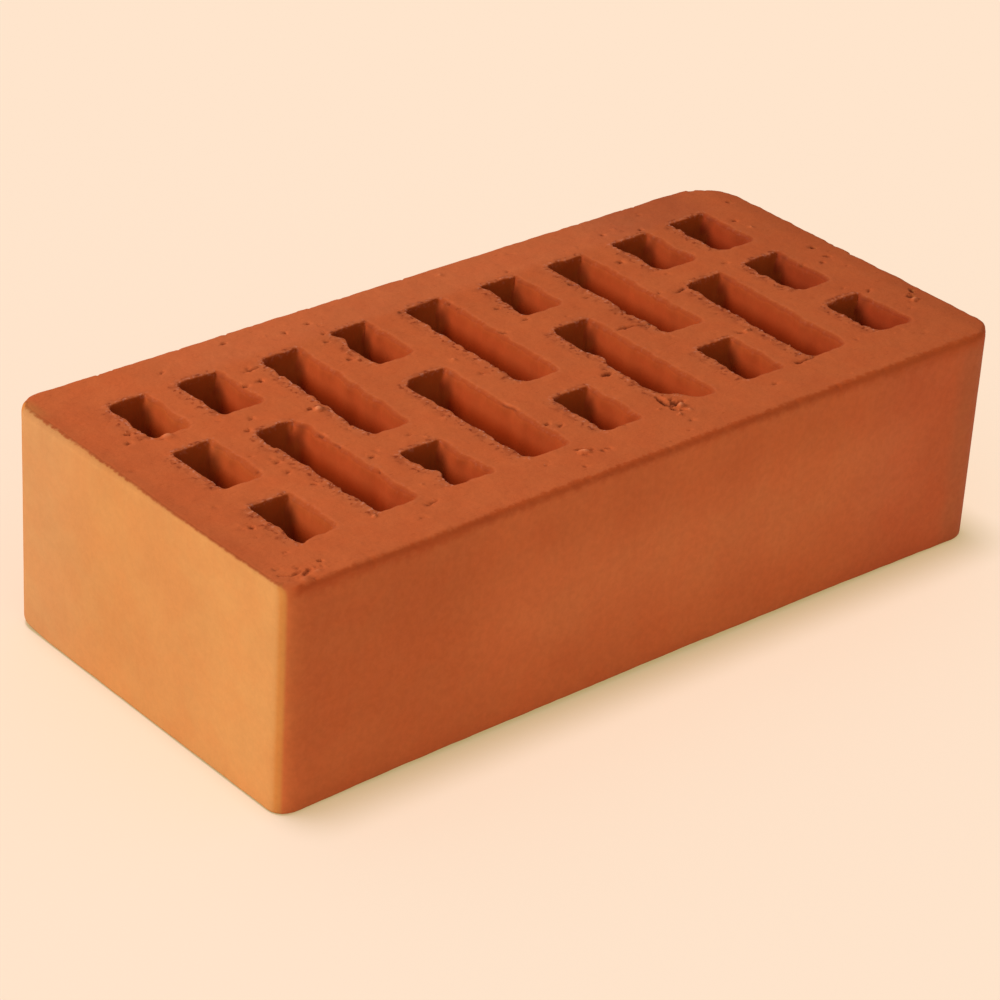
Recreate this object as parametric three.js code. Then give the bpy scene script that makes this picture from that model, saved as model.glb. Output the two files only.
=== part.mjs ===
// Perforated clay facing brick, single format, fired as one piece.
//
// Millimetres, +Z up. The origin is at the centre of the lower bed face, +X runs along the
// length and +Y across the width, from the front stretcher face to the back one.
//
// A die forms the four side faces and the perforations as one long column of clay, and wires
// cut the column into bricks. So the plan is one outline with upright rounded corners, every
// perforation runs straight from bed to bed, and the wire leaves one small rounding on all the
// edges that it cuts.

import * as THREE from 'three';

// Overall size
const LENGTH = 250;
const WIDTH = 120;
const HEIGHT = 65;

// Upright corners. The die and handling leave each one a little different.
const FRONT_LEFT_RADIUS = 6;
const FRONT_RIGHT_RADIUS = 8;
const BACK_RIGHT_RADIUS = 14;
const BACK_LEFT_RADIUS = 7;

// Rounding of every edge that the wire cuts, round the bed faces and the perforations' mouths
const CUT_EDGE_ROUNDING = 1;

// Perforations: columns of upright holes across the length. The shells and webs of clay have
// set thicknesses, and the holes take up the rest of the plan.
const COLUMN_COUNT = 9;
const END_SHELL = 16.7;
const SIDE_SHELL = 17;
const COLUMN_WEB = 12;
const ROW_WEB = 10;
const SLOT_WEB = 12;
const HOLE_CORNER_RADIUS = 2.3;

// An end column has this many short holes in a row. Every other column has one short hole and
// one long slot, which fills the rest of the column.
const ROW_COUNT = 3;

// Fineness of the facets. A path gives an arc two segments for each of its divisions.
const SEGMENTS_PER_CORNER = 8;
const SEGMENTS_PER_HOLE_CORNER = 4;
const SEGMENTS_PER_CUT_EDGE = 2;
const SEGMENTS_PER_DIVISION = 2;

const holeWidth = (LENGTH - 2 * END_SHELL - (COLUMN_COUNT - 1) * COLUMN_WEB) / COLUMN_COUNT;
const fieldDepth = WIDTH - 2 * SIDE_SHELL;
const shortHoleLength = (fieldDepth - (ROW_COUNT - 1) * ROW_WEB) / ROW_COUNT;
const slotLength = fieldDepth - shortHoleLength - SLOT_WEB;

/**
 * A rectangle with its four corners rounded, as points in order round the outline. Each arc is
 * joined to the one before it by a straight side, and the outline closes from its last point.
 */
function roundedRectangle({ left, right, front, back, radii, segments }) {
  const { frontLeft, frontRight, backRight, backLeft } = radii;
  const quarter = Math.PI / 2;
  const outline = new THREE.Path();
  outline.absarc(right - frontRight, front + frontRight, frontRight, -quarter, 0, false);
  outline.absarc(right - backRight, back - backRight, backRight, 0, quarter, false);
  outline.absarc(left + backLeft, back - backLeft, backLeft, quarter, 2 * quarter, false);
  outline.absarc(left + frontLeft, front + frontLeft, frontLeft, 2 * quarter, 3 * quarter, false);
  return outline.getPoints(segments / SEGMENTS_PER_DIVISION);
}

/** Outline of the whole plan. */
function planOutline() {
  return roundedRectangle({
    left: -LENGTH / 2,
    right: LENGTH / 2,
    front: -WIDTH / 2,
    back: WIDTH / 2,
    radii: {
      frontLeft: FRONT_LEFT_RADIUS,
      frontRight: FRONT_RIGHT_RADIUS,
      backRight: BACK_RIGHT_RADIUS,
      backLeft: BACK_LEFT_RADIUS,
    },
    segments: SEGMENTS_PER_CORNER,
  });
}

/** Outline of one perforation, which starts at `front` and is `length` long across the width. */
function holeOutline(centreX, front, length) {
  const radius = HOLE_CORNER_RADIUS;
  return roundedRectangle({
    left: centreX - holeWidth / 2,
    right: centreX + holeWidth / 2,
    front,
    back: front + length,
    radii: { frontLeft: radius, frontRight: radius, backRight: radius, backLeft: radius },
    segments: SEGMENTS_PER_HOLE_CORNER,
  });
}

/** The perforations of one column, from front to back. */
function columnOutlines(column) {
  const centreX = (column - (COLUMN_COUNT - 1) / 2) * (holeWidth + COLUMN_WEB);
  const fieldFront = -fieldDepth / 2;
  const isEndColumn = column === 0 || column === COLUMN_COUNT - 1;
  if (isEndColumn) {
    const rows = Array.from({ length: ROW_COUNT }, (_, row) => row);
    const rowPitch = shortHoleLength + ROW_WEB;
    return rows.map((row) => holeOutline(centreX, fieldFront + row * rowPitch, shortHoleLength));
  }
  // The slots take turns at the front and the back, so that the webs between them are staggered.
  const slotAtFront = column % 2 === 1;
  const frontLength = slotAtFront ? slotLength : shortHoleLength;
  const backLength = slotAtFront ? shortHoleLength : slotLength;
  return [
    holeOutline(centreX, fieldFront, frontLength),
    holeOutline(centreX, fieldFront + frontLength + SLOT_WEB, backLength),
  ];
}

/** The whole brick: the perforated plan, extruded from bed face to bed face. */
function brickGeometry() {
  const section = new THREE.Shape(planOutline());
  for (let column = 0; column < COLUMN_COUNT; column += 1) {
    for (const outline of columnOutlines(column)) {
      section.holes.push(new THREE.Path(outline));
    }
  }
  const geometry = new THREE.ExtrudeGeometry(section, {
    depth: HEIGHT - 2 * CUT_EDGE_ROUNDING,
    bevelEnabled: true,
    bevelThickness: CUT_EDGE_ROUNDING,
    bevelSize: CUT_EDGE_ROUNDING,
    bevelOffset: -CUT_EDGE_ROUNDING,
    bevelSegments: SEGMENTS_PER_CUT_EDGE,
    curveSegments: 1,
  });
  geometry.translate(0, 0, CUT_EDGE_ROUNDING);
  return geometry;
}

const firedClay = new THREE.MeshStandardMaterial({
  name: 'fired_clay',
  color: 0xb65a31,
  roughness: 0.85,
  metalness: 0,
});

const brick = new THREE.Mesh(brickGeometry(), firedClay);
brick.name = 'brick';

const part = new THREE.Group();
part.add(brick);

export default part;
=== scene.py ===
# Looks of a perforated clay facing brick.
#
# The CAD node is replaced by one closed mesh of the same brick, with what its making leaves on
# it: a smooth skin where the die formed it, and the torn and dragged clay of the wire cut on the
# upper bed. All lengths of the brick are in millimetres until the mesh is made.

import math
from dataclasses import dataclass

import bpy
import numpy as np
from mathutils import Color, Matrix, Vector, kdtree, noise
from mathutils.geometry import delaunay_2d_cdt


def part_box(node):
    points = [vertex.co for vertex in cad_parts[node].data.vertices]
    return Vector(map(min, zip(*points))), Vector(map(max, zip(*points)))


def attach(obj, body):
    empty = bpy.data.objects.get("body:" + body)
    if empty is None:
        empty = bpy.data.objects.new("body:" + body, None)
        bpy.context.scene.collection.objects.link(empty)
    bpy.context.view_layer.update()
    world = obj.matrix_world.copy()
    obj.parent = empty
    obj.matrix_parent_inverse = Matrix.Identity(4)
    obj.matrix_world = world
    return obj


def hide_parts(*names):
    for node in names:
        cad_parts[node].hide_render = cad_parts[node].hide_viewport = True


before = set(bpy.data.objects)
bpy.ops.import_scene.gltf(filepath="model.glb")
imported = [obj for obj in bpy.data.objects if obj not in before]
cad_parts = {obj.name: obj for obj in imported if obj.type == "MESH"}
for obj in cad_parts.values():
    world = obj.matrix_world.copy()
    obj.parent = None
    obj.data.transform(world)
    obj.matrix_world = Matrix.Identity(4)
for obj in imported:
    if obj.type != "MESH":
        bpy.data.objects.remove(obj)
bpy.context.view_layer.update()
MM = 0.001
SEED = 11

# ---- sizes of the brick

BOX_LOW, BOX_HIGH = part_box("brick")
NOMINAL_LENGTH, NOMINAL_WIDTH, NOMINAL_HEIGHT = ((BOX_HIGH - BOX_LOW) / MM)[:]

# This brick came out of the kiln a little narrow and tall, with its lower bed hollowed.
NARROWER_BY = 1.5
TALLER_BY = 1.0
HOLLOW = 1.3
LENGTH = NOMINAL_LENGTH
WIDTH = NOMINAL_WIDTH - NARROWER_BY
HEIGHT = NOMINAL_HEIGHT + TALLER_BY

FRONT_LEFT_RADIUS = 5.2
FRONT_RIGHT_RADIUS = 8.5
BACK_RIGHT_RADIUS = 14.0
BACK_LEFT_RADIUS = 7.0

COLUMN_PITCH = 25.4
HOLE_WIDTH = 13.4
FIELD_FRONT = -41.5
FIELD_DEPTH = 85.0
ROW_WEB = 10.0
SLOT_WEB = 11.3
SHORT_HOLE = (FIELD_DEPTH - 2 * ROW_WEB) / 3
SLOT = FIELD_DEPTH - SHORT_HOLE - SLOT_WEB
HOLE_FRONT_RIGHT_RADIUS = 2.2
HOLE_BACK_RIGHT_RADIUS = 0.8
CORNER_FILL = 0.8
CORNER_FILL_REACH = 1.7

# How the core of each hole has wandered in the die, column by column and from the front: how far
# it sits to the right, how much wider it is, how far its back end is out, and how far its back
# leans to the right. The last two are the radii of its corners at the front left and back left.
CORES = (
    (
        (0.1, -0.3, -0.9, 0.2, 1.5, 2.0),
        (0.7, -0.4, 0.8, 0.0, 1.5, 2.0),
        (1.2, -0.4, -0.4, 0.2, 2.0, 2.5),
    ),
    ((0.0, 0.0, -0.7, 0.0, 1.5, 2.8), (-1.2, 0.4, -0.3, 0.1, 2.0, 1.5)),
    ((-1.3, 0.2, -0.3, -0.2, 1.5, 1.0), (-1.0, 0.2, -1.9, 0.8, 3.0, 3.0)),
    ((-0.9, 1.7, 0.0, -0.1, 3.0, 5.0), (-0.5, 0.2, 0.5, 0.3, 2.0, 2.0)),
    ((-0.4, 0.2, 0.0, 0.0, 2.0, 2.0), (-0.1, 0.2, 0.4, 0.5, 3.0, 3.0)),
    ((0.5, 1.0, 0.4, 0.4, 8.0, 3.0), (1.4, 0.4, -0.6, 0.3, 1.5, 1.0)),
    ((0.9, 0.7, -0.3, 0.2, 1.5, 1.5), (1.1, 0.6, -0.9, 0.1, 3.5, 1.5)),
    ((0.1, 1.2, 1.0, 0.9, 3.0, 3.5), (1.4, 0.7, -0.4, 0.0, 3.0, 1.0)),
    (
        (-0.1, 0.5, -0.5, -0.1, 4.0, 2.0),
        (-0.7, 0.7, 0.5, -0.2, 4.0, 1.5),
        (-1.0, 0.5, 0.5, 0.0, 4.5, 1.5),
    ),
)

# Where clay juts into a hole or is missing from its rim: place, reach, and how far the rim is
# pushed in X and in Y.
JUTS = (
    (21.0, -39.2, 4.5, 2.5, 2.7),
    (18.6, -9.5, 3.0, 2.0, 0.0),
    (20.3, 38.0, 5.0, 1.6, 0.0),
    (44.6, 8.0, 4.0, -0.8, 0.0),
    (94.3, 4.0, 1.3, -1.2, 0.0),
    (-32.3, 38.0, 3.2, 1.3, 0.0),
    (-58.5, -34.2, 2.4, 2.0, 0.0),
    (-59.0, 9.0, 2.6, 0.9, 0.0),
    (-69.9, 9.0, 2.2, -0.8, -0.8),
    (-83.0, 3.0, 4.0, -0.7, 0.0),
    (-107.7, -41.2, 2.2, 0.0, -1.8),
)

# Marks on the upper bed: place, half length, half width, turn in degrees, and how far they stand
# out. Those below zero are pits and scratches, and the others are crumbs.
MARKS = (
    # The torn patch in front of the middle.
    (17.1, -38.2, 4.0, 1.4, 83, -2.2),
    (16.7, -43.0, 1.5, 0.8, -55, -1.2),
    (19.0, -40.2, 2.3, 1.6, 50, -0.9),
    (20.8, -40.7, 1.9, 0.9, 5, -1.2),
    (18.2, -44.3, 1.0, 0.5, -34, -0.6),
    (19.2, -42.4, 1.1, 0.9, 0, 1.1),
    (19.6, -45.4, 0.7, 0.5, 0, 0.6),
    (15.7, -45.9, 0.7, 0.5, 0, 0.6),
    (15.2, -17.8, 2.7, 1.0, 6, -1.1),
    (19.3, -19.9, 1.2, 0.5, -30, -0.5),
    # The flake left of it.
    (-18.2, -46.1, 3.3, 0.6, -33, -1.0),
    (-14.4, -49.4, 0.8, 0.6, -34, -0.7),
    (-12.4, -49.2, 1.1, 0.5, -34, -0.5),
    (-19.1, -47.3, 1.9, 0.6, -34, 0.9),
    (-19.6, -48.5, 1.3, 0.45, -34, -0.5),
    (-23.7, -53.1, 1.0, 0.5, 0, -0.4),
    # The front left.
    (-120.6, -52.9, 2.2, 0.45, -32, -0.4),
    (-117.4, -53.7, 2.6, 0.5, 3, -0.5),
    (-115.4, -54.8, 1.6, 0.7, 30, -0.5),
    (-113.8, -54.0, 1.2, 0.6, 0, -0.5),
    (-115.1, -57.7, 1.1, 0.9, 0, -0.5),
    (-117.4, -57.0, 1.6, 0.8, 20, 0.4),
    (-113.2, -56.0, 1.6, 0.7, 10, 0.5),
    (-121.8, -56.2, 2.6, 0.8, -50, 0.2),
    (-109.2, -52.2, 0.9, 0.6, 0, -0.8),
    (-68.2, -45.3, 2.8, 0.4, 8, -0.5),
    # Cracks in the webs, with their crumbs.
    (38.3, 0.3, 3.6, 0.6, -7, -0.9),
    (43.0, -0.9, 4.0, 0.5, -19, -0.8),
    (66.8, -42.0, 5.0, 0.5, 2, -0.7),
    (63.4, -42.2, 1.5, 0.8, 0, -0.9),
    (67.6, 9.4, 4.2, 0.5, 15, -0.6),
    (60.5, 11.4, 0.8, 0.6, 0, -0.6),
    (58.1, 10.8, 1.3, 0.6, 10, 0.5),
    (-62.3, 38.2, 3.2, 0.5, 4, -0.6),
    (-18.9, -16.6, 4.0, 0.6, 99, -0.7),
    # The rest.
    (-112.9, -29.6, 1.0, 0.6, 0, -0.7),
    (-112.8, 23.1, 1.0, 0.6, 0, -0.6),
    (-110.2, 27.2, 1.5, 0.6, -20, -0.7),
    (-104.4, 20.2, 0.9, 0.5, 0, -0.6),
    (-102.6, 20.6, 1.8, 0.9, -10, 0.7),
    (-96.1, -40.0, 1.1, 0.6, -34, -0.7),
    (-94.5, -7.3, 1.0, 0.5, 0, -0.6),
    (-88.0, -12.0, 1.3, 0.5, 0, -0.4),
    (-86.7, -20.8, 1.4, 0.6, -30, -0.6),
    (-84.6, -42.6, 0.9, 0.6, 0, 0.5),
    (-83.9, -23.5, 1.3, 0.6, -40, -0.6),
    (-83.8, -41.6, 1.2, 0.6, 0, -0.7),
    (-83.6, 11.5, 1.0, 0.6, 0, -0.6),
    (-79.0, 16.0, 1.4, 0.4, 10, -0.4),
    (-70.9, -39.0, 1.3, 0.7, 0, -0.7),
    (-70.0, -8.0, 1.7, 0.8, -60, -1.0),
    (-69.8, -24.6, 1.6, 0.8, -40, -0.9),
    (-69.6, -1.1, 1.5, 0.7, -70, -0.9),
    (-69.6, 31.4, 1.2, 0.8, 0, -0.8),
    (-65.7, -18.0, 1.3, 0.6, 0, -0.5),
    (-64.3, 31.6, 1.0, 0.8, 0, -0.9),
    (-63.1, 11.8, 1.2, 0.6, 20, -0.8),
    (-61.6, 10.2, 1.5, 1.1, 20, 1.0),
    (-41.9, 50.6, 0.9, 0.5, 20, -0.5),
    (-36.8, 28.6, 1.2, 0.9, 0, -0.7),
    (-35.7, 40.0, 1.3, 0.6, 0, -0.5),
    (-35.4, 31.5, 0.9, 0.6, 0, 0.5),
    (-34.9, 27.0, 0.8, 0.6, 0, 0.5),
    (-33.4, 51.4, 1.0, 0.5, 0, -0.5),
    (-16.8, -29.9, 1.1, 0.8, 0, -0.8),
    (-7.4, 43.1, 1.0, 0.7, 0, -0.8),
    (7.1, 40.0, 1.0, 0.7, 0, -0.8),
    (7.7, 35.9, 1.8, 0.5, -34, -0.6),
    (8.0, 17.4, 1.8, 0.8, -60, -0.7),
    (16.1, 29.6, 1.2, 0.7, 0, -0.6),
    (18.3, 19.8, 1.2, 0.55, 0, -0.55),
    (41.7, 20.6, 1.3, 0.5, -20, -0.5),
    (43.4, 30.0, 1.1, 0.9, 0, -0.8),
    (49.2, -47.6, 1.0, 0.6, 0, -0.5),
    (63.0, -19.9, 1.2, 0.7, -20, -0.8),
    (65.0, -19.6, 0.9, 0.5, 0, 0.5),
    (65.0, 32.5, 1.0, 0.8, 0, -0.8),
    (66.1, -28.4, 0.7, 0.5, 0, 0.5),
    (66.9, -20.3, 1.3, 0.5, -10, -0.6),
    (67.6, -15.9, 0.7, 0.5, 0, 0.5),
    (68.3, -33.6, 0.7, 0.5, 0, 0.5),
    (72.8, 49.3, 0.9, 0.7, 0, -0.7),
    (82.4, -8.8, 1.3, 0.6, -70, -0.6),
    (84.4, 45.7, 0.7, 0.6, 0, -0.8),
    (92.7, -4.9, 1.5, 0.6, -60, -0.6),
    (107.6, 1.8, 1.0, 0.7, 0, -0.6),
    (112.0, 34.7, 1.0, 0.6, 0, -0.7),
    (113.7, -0.4, 1.1, 0.7, 0, -0.6),
    (117.8, 2.0, 1.4, 0.8, -30, -0.8),
    (118.4, -32.8, 1.2, 0.7, 0, 0.7),
    (118.6, 8.4, 1.2, 0.9, 0, -1.0),
    (119.1, -30.7, 1.5, 1.1, 0, -1.0),
    (122.0, -28.2, 1.6, 0.9, 60, -0.9),
)

# Patches of loose crumbs: place, half length, half width, turn in degrees and roughness.
CRUMBLY = (
    (18.0, -40.0, 4.4, 2.8, 63, 0.8),
    (-16.5, -47.2, 4.4, 1.3, -28, 0.4),
    (-112.5, -54.3, 7.0, 2.4, 6, 0.3),
    (-98.0, -56.0, 7.0, 1.0, 0, 0.35),
    (-64.0, -56.3, 6.0, 0.9, 0, 0.3),
    (3.0, -55.8, 3.4, 0.9, 10, 0.5),
    (119.6, -29.5, 3.5, 2.0, 60, 0.5),
)
STREWN_PITS = 110
STREWN_CRUMBS = 40
STREWN_MARGIN = 2.0
STREWN_SMALLEST = 0.3
STREWN_SPREAD = 0.4

# ---- unevenness of the clay
#
# Every layer of noise is its height, the size of its features, along X, Y and Z where they differ,
# and an offset that sets it apart from the others.

# The right wall of a hole takes all of its wander, and the others this share.
LEAST_WANDER = 0.3
HOLE_WANDER = (1.0, 7.0, 0.0)
HOLE_RIPPLE = (0.12, 3.0, 5.0)

SHARP_RIM = 0.4
PRESSED_RIM = 0.9
PRESSED_RIM_NOISE = (0.6, 4.0, 13.0)
PRESSED_BITE = (0.5, 2.8, 17.0)
RIM_PAST_MOUTH = 0.4
FRONT_PRESSED = 0.8
BACK_TORN = 0.55
LEAST_TORN = 0.1
RAGGED_STRETCHES = (1.0, 8.0, 11.0)
TORN_BITES = ((0.8, 5.2, 1.0), (0.3, 2.3, 6.0))
RAGGED_BITE = (1.0, 1.15, 4.0)
RAGGED_LIFT = (1.0, 1.3, 9.0)
TORN_LIFT = 0.1

SHARP_ARRIS = 0.45
FRONT_ARRIS = 1.35
FRONT_ARRIS_NOISE = (0.5, 9.0, 3.0)
LEFT_ARRIS = 0.6
FRONT_LEFT_ARRIS = 0.6
FRONT_LEFT_ARRIS_REACH = 4.0
ARRIS_BITES = ((0.16, 6.0, 2.0), (0.12, 1.8, 6.0))
RIGHT_ARRIS_BITES = ((0.30, 4.5, 21.0), (0.10, 1.7, 22.0))
ARRIS_CHIPS = (1.0, 2.2, 12.0)
CHIP_ONSET = 0.35

BED_RELIEF = ((0.16, 38.0, 0.0), (0.14, 5.5, 3.0), (0.08, (9.0, 1.6, 9.0), 5.0), (0.08, 2.6, 7.0))
SIDE_RELIEF = ((0.08, 45.0, 2.0), (0.03, 7.0, 6.0))
CORE_RELIEF = (0.35, (8.0, 8.0, 30.0), 8.0)
CORE_RELIEF_DEPTH = (1.5, 6.0)
MARK_EDGE = (0.35, 1.1, 15.0)
CRUMBLY_RIDGES = ((2.2, 1.5, 21.0), (0.8, 0.8, 3.0))

# ---- mesh fineness, mm

RIM_SPACING = 0.54
OUTLINE_SPACING = 0.75
TOP_SPACING = 1.35
MARK_SPACING = 0.40
BOTTOM_SPACING = 2.4
FIRST_SIDE_ROW = 4.2
SIDE_ROW_SPACING = 4.4
HOLE_ROW_DEPTHS = (4.4, 6.5, 9.5, 14.0, 22.0, 34.0, 48.0, 58.0)


def add_object(name, data):
    """A new object in the scene."""
    made = bpy.data.objects.new(name, data)
    bpy.context.collection.objects.link(made)
    return made


def smoothstep(low, high, value):
    """0 below `low`, 1 above `high` and smooth between them."""
    t = np.clip((value - low) / (high - low), 0.0, 1.0)
    return t * t * (3.0 - 2.0 * t)


def noise_at(points, *layers):
    """The sum of some layers of smooth noise at each point."""
    total = np.zeros(len(points))
    for height, size, offset in layers:
        scaled = points / np.array(size) + offset
        total += height * np.fromiter((noise.noise(Vector(p)) for p in scaled), float, len(scaled))
    return total


# ---- edge loops


@dataclass
class Loop:
    """The outline of the plan, or the mouth of a perforation, with the clay on its left."""

    points: np.ndarray
    is_hole: bool
    into_clay: np.ndarray = None

    def __post_init__(self):
        if self.into_clay is None:
            tangent = np.roll(self.points, -1, axis=0) - np.roll(self.points, 1, axis=0)
            tangent /= np.linalg.norm(tangent, axis=1, keepdims=True)
            self.into_clay = np.stack([-tangent[:, 1], tangent[:, 0]], axis=1)

    def halved(self):
        """The same loop with every second point left out."""
        return Loop(self.points[::2], self.is_hole, self.into_clay[::2])

    def spots(self):
        """Its points in space, for noise."""
        return np.column_stack([self.points, np.zeros(len(self.points))])

    def pushed(self, distance):
        """The loop moved into the clay by a distance for each point."""
        return Loop(self.points + self.into_clay * distance[:, None], self.is_hole)

    def back_right_gap(self, points):
        """How far points in plan are from its back right corner."""
        corner = self.points[np.argmax(self.points.sum(axis=1))]
        return np.linalg.norm(points - corner, axis=1)

    def filled(self, amount):
        """The loop with its back right corner filled by `amount` in X and in Y."""
        near = np.exp(-((self.back_right_gap(self.points) / CORNER_FILL_REACH) ** 2))
        return Loop(self.points - amount * near[:, None], self.is_hole, self.into_clay)


def rounded_rectangle(half_x, half_y, radii, spacing):
    """Points round a rectangle centred on the origin, anticlockwise, evenly spaced.

    `radii` are those of the corners at the front left, front right, back right and back left.
    """
    signs = ((-1, -1), (1, -1), (1, 1), (-1, 1))
    arc_step = math.radians(3.0)
    outline = []
    for corner, ((sign_x, sign_y), radius) in enumerate(zip(signs, radii)):
        centre = np.array([sign_x * (half_x - radius), sign_y * (half_y - radius)])
        start = math.pi + corner * math.pi / 2
        angles = np.arange(start, start + math.pi / 2 + arc_step / 2, arc_step)
        outline.append(centre + radius * np.stack([np.cos(angles), np.sin(angles)], axis=1))
    outline = np.concatenate(outline)
    closed = np.concatenate([outline, outline[:1]])
    lengths = np.concatenate([[0.0], np.cumsum(np.linalg.norm(np.diff(closed, axis=0), axis=1))])
    count = 2 * round(lengths[-1] / spacing / 2)
    stations = np.arange(count) * lengths[-1] / count
    return np.stack([np.interp(stations, lengths, closed[:, axis]) for axis in (0, 1)], axis=1)


def outer_loop():
    """The outline of the whole plan."""
    radii = (FRONT_LEFT_RADIUS, FRONT_RIGHT_RADIUS, BACK_RIGHT_RADIUS, BACK_LEFT_RADIUS)
    return Loop(rounded_rectangle(LENGTH / 2, WIDTH / 2, radii, OUTLINE_SPACING), False)


def facing(loop):
    """How much each stretch of a loop has its clay to the right, left, back and front of it."""
    x, y = loop.into_clay[:, 0], loop.into_clay[:, 1]
    return np.clip(x, 0, 1), np.clip(-x, 0, 1), np.clip(y, 0, 1), np.clip(-y, 0, 1)


def hole_loop(column, front, length, core):
    """The mouth of one perforation. It runs clockwise, so that the clay is on its left."""
    aside, wider, longer, lean, front_left_radius, back_left_radius = core
    half_length = (length + longer) / 2
    half_width = (HOLE_WIDTH + wider) / 2
    radii = (front_left_radius, HOLE_FRONT_RIGHT_RADIUS, HOLE_BACK_RIGHT_RADIUS, back_left_radius)
    points = rounded_rectangle(half_width, half_length, radii, RIM_SPACING)
    points[:, 0] += lean * points[:, 1] / half_length
    points[:, 0] += (column - (len(CORES) - 1) / 2) * COLUMN_PITCH + aside
    points[:, 1] += FIELD_FRONT + front + half_length
    loop = Loop(points[::-1], True)
    share = LEAST_WANDER + (1 - LEAST_WANDER) * facing(loop)[0]
    wander = share * noise_at(loop.spots(), HOLE_WANDER)
    loop = loop.pushed(wander + noise_at(loop.spots(), HOLE_RIPPLE))
    for x, y, reach, *push in JUTS:
        near = np.exp(-((np.linalg.norm(loop.points - (x, y), axis=1) / reach) ** 2))
        loop.points += near[:, None] * push
    return loop


def hole_loops():
    """All the perforations: three in each end column, and a hole and a slot in each other one."""
    loops = []
    for column, cores in enumerate(CORES):
        if len(cores) == 3:
            lengths, web = (SHORT_HOLE,) * 3, ROW_WEB
        else:
            lengths, web = ((SLOT, SHORT_HOLE) if column % 2 == 1 else (SHORT_HOLE, SLOT)), SLOT_WEB
        front = 0.0
        for length, core in zip(lengths, cores):
            loops.append(hole_loop(column, front, length, core))
            front += length + web
    return loops


# ---- brick surface

# The last mask holds painted shade on the rounded rims that the wire presses.
MASKS = ("inside", "torn", "pressed")


class Surface:
    """Vertices and faces of the brick, and how far each vertex is of each kind of skin."""

    def __init__(self):
        self.points, self.normals, self.masks, self.faces = [], [], [], []
        self.count = 0

    def add_points(self, points, normals, masks):
        """Adds vertices and returns their indices. `masks` has a column for each of MASKS."""
        self.points.append(points)
        self.normals.append(normals)
        self.masks.append(masks)
        first = self.count
        self.count += len(points)
        return np.arange(first, self.count)

    def add_row(self, line, inward, height, tilt, **masks):
        """A closed row of vertices at a distance into the clay from a loop, and at a height.

        `tilt` is how far the surface faces up there, in degrees.
        """
        count = len(line.points)
        inward, height = np.broadcast_to(inward, count), np.broadcast_to(height, count)
        points = np.column_stack([line.points + line.into_clay * inward[:, None], height])
        tilt = math.radians(tilt)
        normals = np.column_stack([-line.into_clay * math.cos(tilt), np.full(count, math.sin(tilt))])
        columns = [np.broadcast_to(masks.get(name, 0.0), count) for name in MASKS]
        return self.add_points(points, normals, np.column_stack(columns))

    def join_rows(self, upper, lower):
        """A strip of quads between two closed rows of as many points."""
        quads = [upper, lower, np.roll(lower, -1), np.roll(upper, -1)]
        self.faces += np.stack(quads, axis=1).tolist()

    def join_finer_row(self, upper, lower):
        """A strip of triangles from a closed row to one with half as many points."""
        first, middle = upper[::2], upper[1::2]
        last, next_lower = np.roll(first, -1), np.roll(lower, -1)
        for corners in ((first, lower, middle), (middle, lower, next_lower), (middle, next_lower, last)):
            self.faces += np.stack(corners, axis=1).tolist()


RIM_TILTS = (90.0, 66.0, 44.0, 20.0, 0.0)
# Rows below a hole's rim: how far below, and how much of its bites, of its lift and of the filling
# of its back right corner each one takes.
ROWS_BELOW_RIM = ((0.7, 0.75, 0.25, 0.4), (1.7, 0.35, 0.0, 0.8))
APRON = 1.7
INNER_APRON = 0.8
BOTTOM_ROUNDING = 0.9
BACK_LEFT_FOOT = 2.0
BACK_LEFT_FOOT_REACH = 9.0
FRAYED_REACH = 5.2
FRAYED_REACH_BACK = 2.6
FRAYED_PAST_RIM = 2.0
FARTHEST_CORNER = 10.0
FRAYED_DEPTH = 3.0


def hole_rim(surface, loop):
    """The rows of a hole's upper rim, from the bed downwards, and how far in its wall is.

    The wire goes along the brick to the right. It tears the rim where it leaves the clay, and
    presses the one where it comes to the clay again.
    """
    right, left, back, front = facing(loop)
    pressed = np.clip(right + FRONT_PRESSED * front, 0, 1)
    torn = np.clip(smoothstep(0.25, 0.9, left) + BACK_TORN * back + LEAST_TORN, 0, 1)
    spots = loop.spots()
    rounding = SHARP_RIM + pressed * (PRESSED_RIM + noise_at(spots, PRESSED_RIM_NOISE))
    wall = -RIM_PAST_MOUTH * rounding
    rags = smoothstep(-0.1, 0.4, noise_at(spots, RAGGED_STRETCHES))
    bite = noise_at(spots, *TORN_BITES) + (0.2 + 0.35 * rags) * noise_at(spots, RAGGED_BITE)
    bite = torn * bite + pressed * noise_at(spots, PRESSED_BITE)
    lift = torn * (TORN_LIFT + (0.15 + 0.3 * rags) * noise_at(spots, RAGGED_LIFT))

    def row(inward, depth, tilt, weight, lip, inside, line=loop):
        # Painted shade on the rounding of the rims the wire presses, strongest halfway round, where it
        # faces the light.
        painted_rim_shade = pressed * math.sqrt(math.sin(2 * math.radians(tilt)))
        masks = {"inside": inside, "torn": torn * lip, "pressed": painted_rim_shade}
        lifted = HEIGHT - depth + lip * lift
        return surface.add_row(line, inward + weight * bite, lifted, tilt, **masks)

    edge = wall + rounding
    rows = [
        row(edge + APRON, 0.0, 90.0, 0.0, 0.0, 0.0),
        row(edge + INNER_APRON, 0.0, 90.0, 0.45, 0.55, 0.0),
    ]
    for tilt in RIM_TILTS:
        inward, depth = quarter_round(rounding, tilt)
        share = 1 - tilt / 90.0
        rows.append(row(wall + inward, depth, tilt, 1.0, 1.0 - 0.6 * share, share))
    for below, weight, lip, filling in ROWS_BELOW_RIM:
        line = loop.filled(filling * CORNER_FILL)
        rows.append(row(wall, rounding + below, 0.0, weight, lip, 1.0, line))
    return rows, wall


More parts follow.
